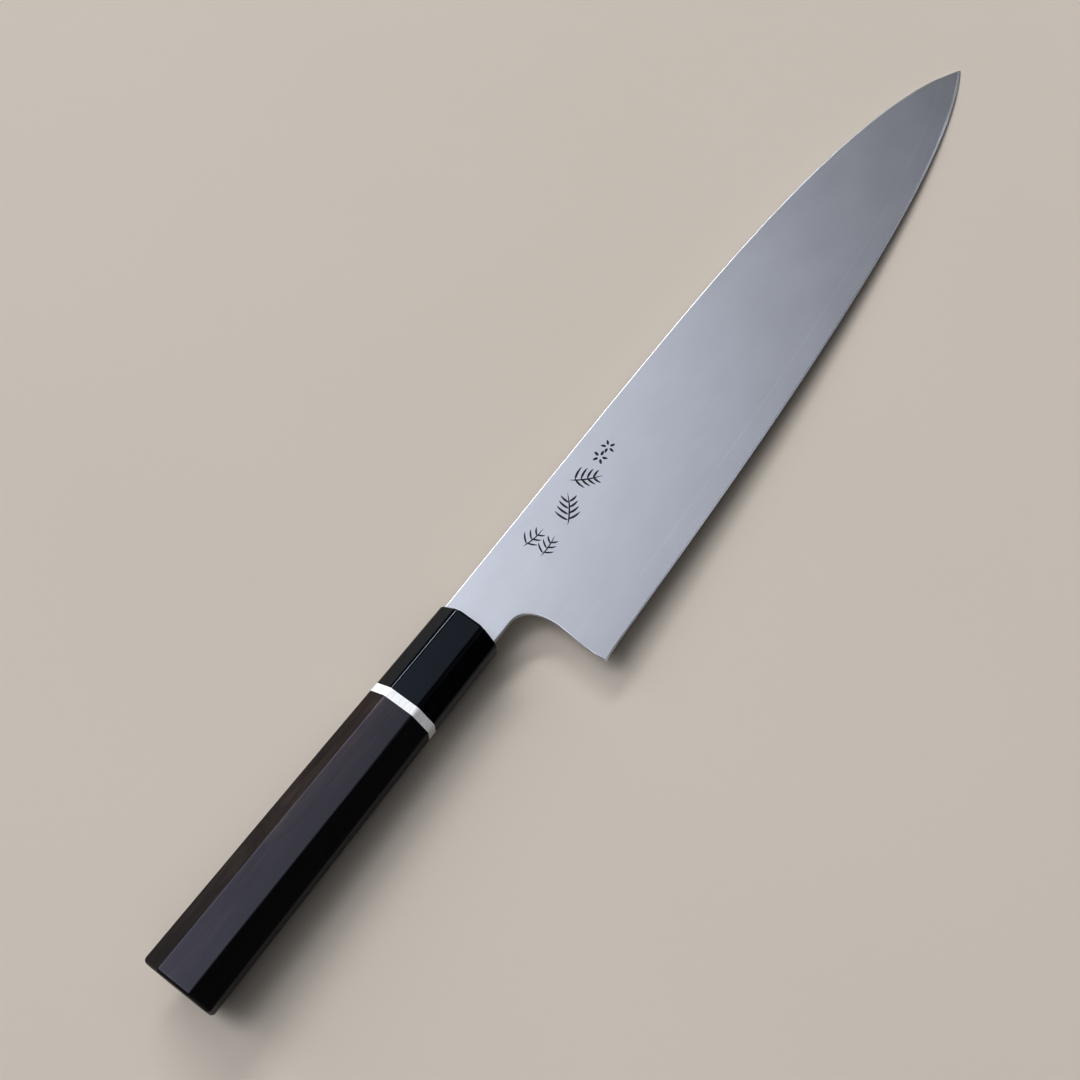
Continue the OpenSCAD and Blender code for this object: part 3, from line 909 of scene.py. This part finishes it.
def sprig(root, angle, length, pairs, width):
    """A bent stem with pairs of leaves that shorten toward its end."""
    cuts = [stroke(root, angle, length, width * STEM_WIDTH, STEM_BEND)]
    for k in range(pairs):
        share = 0.16 + 0.7 * k / pairs
        base = np.array(root) + length * share * toward(np.radians(angle) - STEM_LEAN)
        reach = length * (0.5 - 0.26 * share)
        cuts.append(stroke(base, angle + 52 - 12 * share, reach, width, -30))
        cuts.append(stroke(base + 0.3, angle - 58 + 16 * share, reach * 0.9, width, 34))
    return cuts


def blossom(centre, size, width, turn):
    """Petals around an open middle."""
    petals = []
    for k in range(PETALS):
        angle = turn + 360 / PETALS * k
        start = np.array(centre) + toward(math.radians(angle)) * size * 0.16
        petals.append(stroke(start, angle, size * 0.42, width, 20))
    return petals


def ornament(material):
    cuts = [cut for row in SPRIGS for cut in sprig(*row)]
    cuts += [cut for row in BLOSSOMS for cut in blossom(*row)]
    return add_mesh("blade_ornament", *join_parts(cuts), material, BLADE_CREASE)


# ---------------------------------------------------------------- grip pieces

RING_START, RING_END = FERRULE_LEN, FERRULE_LEN + RING_LEN
RIDGE_AT = [0, RING_START, RING_END, 60, GRIP_LEN]
RIDGE_ROUND = [3.0, 2.5, 1.8, 1.1, 1.0]
RIDGE_STEPS, END_STEPS, BORE_SIDES = 9, 7, 64
EIGHTH = math.radians(45)
LENGTH_STEP = 4.0
DOME_REACH, DOME_RADIUS = 5.0, 15.0
OVERCUT = 1.0  # how far a cutter passes the end of what it opens
FLAT_WEIGHT = 80  # how strongly a broad facet pulls the normals at its rim
CUTTER_PAINT = bpy.data.materials.new("cutter")


def grip_ring(d, inset=0.0):
    """The grip's section at distance d behind the ferrule's front, its eight ridges rounded."""
    share = d / GRIP_LEN
    w, t, leg = FRONT_SIZE + (BUTT_SIZE - FRONT_SIZE) * share
    w, t, leg = w - inset, t - inset, leg - inset * (2 - math.sqrt(2))
    ridge = float(np.interp(d, RIDGE_AT, RIDGE_ROUND))
    upper = [(w, t - leg), (w - leg, t), (leg - w, t), (-w, t - leg)]
    corners = upper + [(-y, -z) for y, z in upper]
    ring = []
    for k, corner in enumerate(corners):
        middle = EIGHTH / 2 + k * EIGHTH
        centre = np.array(corner) - toward(middle) * ridge / math.cos(EIGHTH / 2)
        for i in range(RIDGE_STEPS):
            angle = middle - EIGHTH / 2 + EIGHTH * i / (RIDGE_STEPS - 1)
            spot = centre + ridge * toward(angle)
            ring.append((-d - domed(d, spot, t), *spot))
    return np.array(ring)


def domed(d, spot, flat_half):
    """How far the ferrule's worn front falls back at a spot beyond its flats' mid height."""
    beyond = max(0.0, float(spot @ spot) - flat_half**2) / (2 * DOME_RADIUS)
    return beyond * max(0.0, 1 - d / DOME_REACH) ** 2


def eased_end(end, radius, inward):
    """Rings of a rounded end, from the drawn-in end face out to the full section."""
    rings = []
    for i in range(END_STEPS):
        turn = math.radians(90) * i / (END_STEPS - 1)
        rings.append(grip_ring(end + inward * radius * (1 - math.cos(turn)), radius * (1 - math.sin(turn))))
    return rings


def long_rings(start, end):
    """Rings between start and end, without those two."""
    count = max(2, round((end - start) / LENGTH_STEP))
    return [grip_ring(start + (end - start) * k / count) for k in range(1, count)]


def cut_away(obj, cutters):
    """Takes each cutter's volume out of obj and removes the cutter."""
    for cutter in cutters:
        cut = obj.modifiers.new("cut", "BOOLEAN")
        cut.operation, cut.object, cut.solver = "DIFFERENCE", cutter, "EXACT"
    graph = bpy.context.evaluated_depsgraph_get()
    mesh = bpy.data.meshes.new_from_object(obj.evaluated_get(graph))
    obj.modifiers.clear()
    old, obj.data = obj.data, mesh
    bpy.data.meshes.remove(old)
    mesh.name = obj.name
    for cutter in cutters:
        bpy.data.meshes.remove(cutter.data)


def bore_cutter():
    """The room for the dowel."""
    circle = [DOWEL_D / 2 * toward(2 * math.pi * i / BORE_SIDES) for i in range(BORE_SIDES)]
    rings = [np.array([(x, *spot) for spot in circle]) for x in (-DOWEL_START, -DOWEL_END)]
    return add_mesh("bore_cutter", *loft(rings), CUTTER_PAINT, GRIP_CREASE)


def pocket_cutter(end, w, h):
    """A pocket of width w and height h from the ferrule's front to depth end."""
    outline = [(-end, -w / 2), (OVERCUT, -w / 2), (OVERCUT, w / 2), (-end, w / 2)]
    return add_mesh("pocket_cutter", *prism(outline, -h / 2, h / 2), CUTTER_PAINT, GRIP_CREASE)


def grip_piece(name, rings, material, cutters):
    piece = add_mesh(name, *loft(rings), material, GRIP_CREASE)
    cut_away(piece, cutters)
    piece.data.shade_smooth()
    piece.data.set_sharp_from_angle(angle=math.radians(GRIP_CREASE))
    weigh = piece.modifiers.new("weigh", "WEIGHTED_NORMAL")
    weigh.keep_sharp, weigh.weight = True, FLAT_WEIGHT
    return piece


def build_ferrule(material):
    rings = eased_end(0, FERRULE_ROUND, 1) + long_rings(FERRULE_ROUND, RING_START) + [grip_ring(RING_START)]
    slot = pocket_cutter(DOWEL_START + OVERCUT, SLOT_W, SLOT_H)
    mouth = pocket_cutter(MOUTH_DEPTH, MOUTH_W, MOUTH_H)
    return grip_piece("ferrule_horn", rings, material, [bore_cutter(), slot, mouth])


def build_ring(material):
    rings = [grip_ring(RING_START), grip_ring(RING_END)]
    return grip_piece("spacer_white", rings, material, [bore_cutter()])


def build_grip(material):
    rings = [grip_ring(RING_END)] + long_rings(RING_END, GRIP_LEN - BUTT_ROUND)
    rings += eased_end(GRIP_LEN, BUTT_ROUND, -1)[::-1]
    return grip_piece("grip_ebony", rings, material, [bore_cutter()])


# ---------------------------------------------------------------- build

scene = bpy.context.scene
scene.view_settings.view_transform = "Standard"
scene.view_settings.gamma = CONTRAST_GAMMA
add_camera()
add_world()
add_strip_light()
add_floor(floor_paint())

clad_paint = satin_steel("clad_steel", BLADE_TONE, 0.33, 0.02)
core_paint = satin_steel("core_steel", BLADE_TONE, 0.33, 0.02)
line_paint = satin_steel("lamination_line", LINE_TONE, 0.32, 0.03)
grid = cladding_grid()
half = clad_half(grid.reshape(-1, 2))
right = cladding_piece("blade_cladding_right", 1, grid, half, clad_paint)
left = cladding_piece("blade_cladding_left", -1, grid, half, clad_paint)
core = core_piece(core_paint, polished_bevel(), line_paint)
sprigs = ornament(engraved_steel())
ferrule = build_ferrule(horn())
ring = build_ring(white_spacer())
body = build_grip(ebony())

for piece, node, slot in (
    (right, "cladding_right", "clad_steel"),
    (left, "cladding_left", "clad_steel"),
    (core, "core_steel", "core_steel"),
    (ferrule, "ferrule", "horn"),
    (ring, "spacer_ring", "white_spacer"),
    (body, "handle_body", "ebony"),
):
    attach(piece, "root")
    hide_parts(node)

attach(sprigs, "root")

for node, material in (
    ("tang_dowel", pale_wood()),
    ("tang_bedding", amber_resin()),
    ("mouth_seal", dark_sealant()),
):
    mesh = frame["nodes"][node].data
    mesh.materials.clear()
    mesh.materials.append(material)
